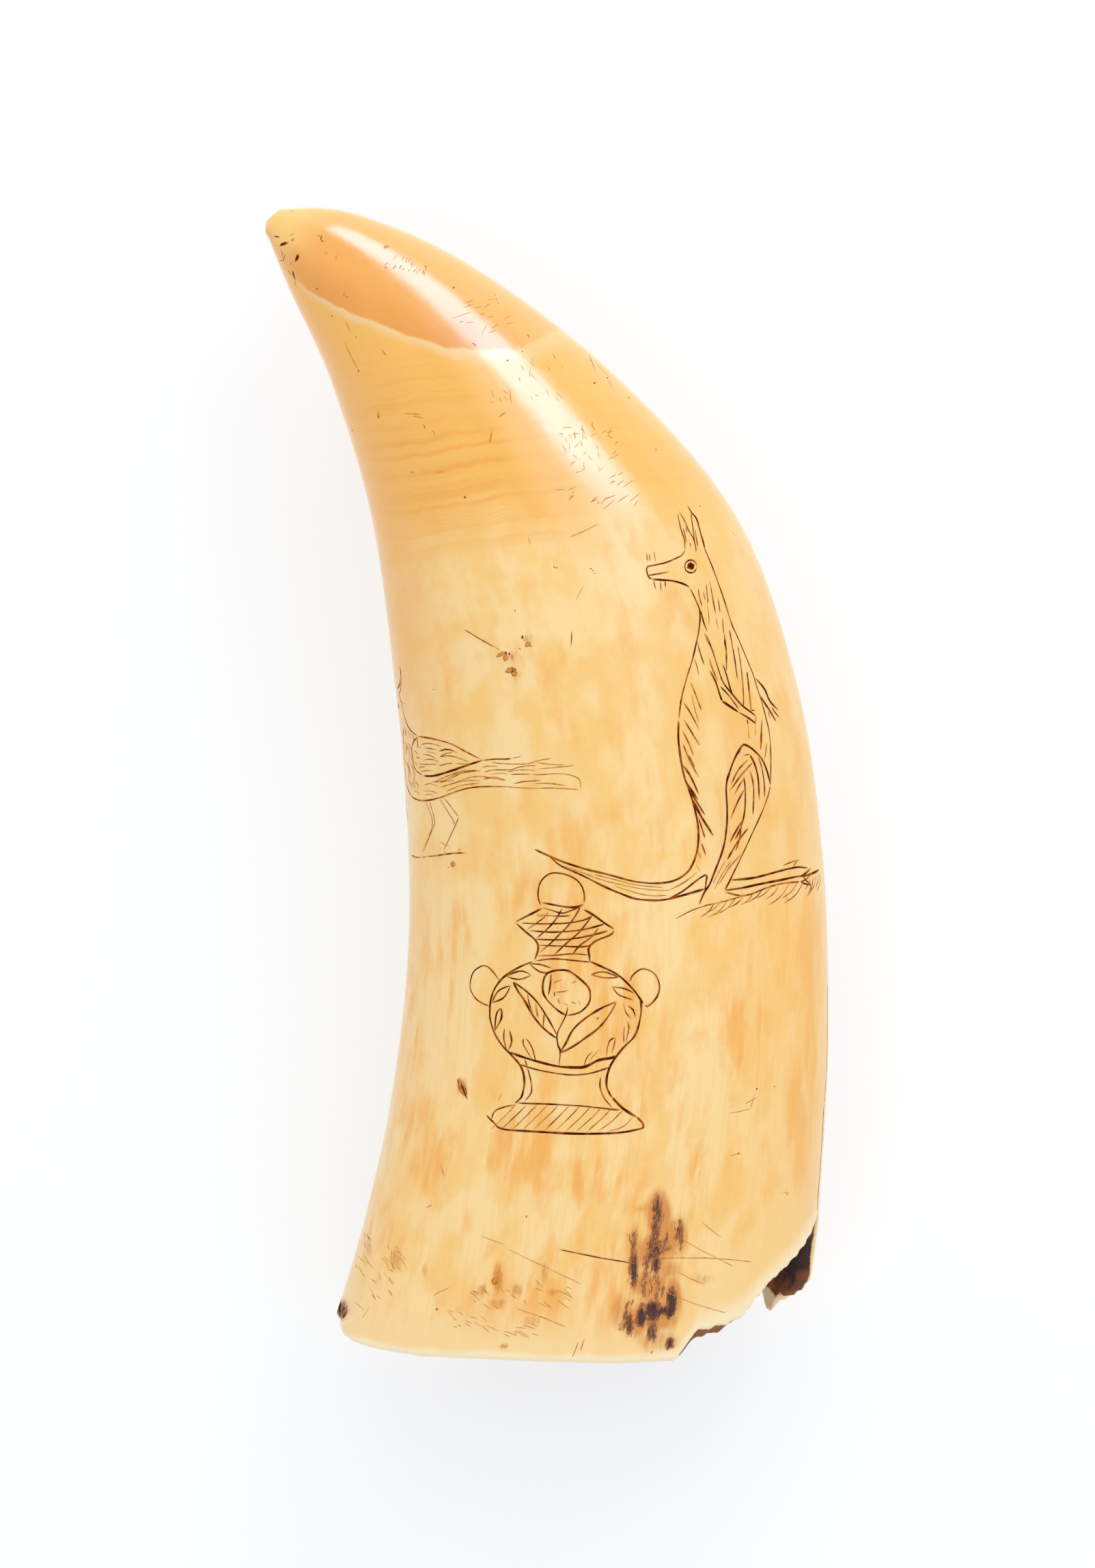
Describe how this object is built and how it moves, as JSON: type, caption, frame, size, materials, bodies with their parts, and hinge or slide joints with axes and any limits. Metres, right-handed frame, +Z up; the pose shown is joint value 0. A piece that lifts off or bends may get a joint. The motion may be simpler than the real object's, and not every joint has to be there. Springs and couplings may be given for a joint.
{
  "type": "scrimshaw whale tooth",
  "caption": "Curved polished whale tooth lying on its side, hollow at its broken root, engraved with an animal, a bird and a footed urn.",
  "frame": {"origin": "on the surface that the tooth lies on, below the middle of its outline", "axes": "+Y along the tooth towards its tip, +X towards its convex edge, +Z up through its engraved side"},
  "size_m": [0.0744, 0.152, 0.0396],
  "materials": {
    "ivory": "polished aged tooth ivory, cream at the root to orange at the tip, with fine streaks and growth rings"
  },
  "bodies": {
    "root": {"tooth": "ivory"}
  },
  "joints": []
}
